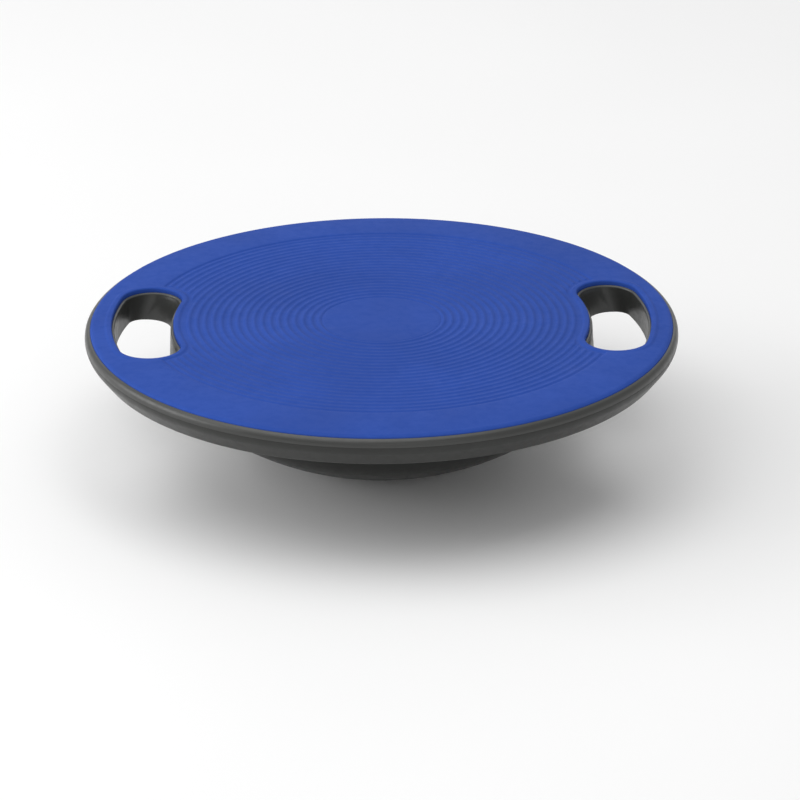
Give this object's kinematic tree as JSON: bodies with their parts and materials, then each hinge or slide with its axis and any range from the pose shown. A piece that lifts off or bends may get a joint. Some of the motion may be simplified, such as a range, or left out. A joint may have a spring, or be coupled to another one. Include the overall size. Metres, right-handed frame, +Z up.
{
  "type": "balance board",
  "caption": "Round wobble board with a ridged non-slip mat, see-through handle openings at both sides and a wide hollow dome that it rocks on.",
  "frame": {"origin": "lowest point of the dome, on the vertical axis of the board", "axes": "+Z up, out of the standing surface; the two handle openings lie on the X axis"},
  "size_m": [0.3999, 0.4, 0.1],
  "materials": {
    "mat_tpe": "matte moulded thermoplastic elastomer",
    "deck_plastic": "satin moulded polypropylene",
    "rim_plastic": "satin moulded polypropylene",
    "dome_plastic": "satin moulded polypropylene",
    "screw_steel": "zinc plated"
  },
  "bodies": {
    "root": {"top_mat": "mat_tpe", "deck_shell": "deck_plastic", "rim_shell": "rim_plastic", "rocker_dome": "dome_plastic", "dome_screws": "screw_steel", "rim_screws": "screw_steel"}
  },
  "joints": []
}
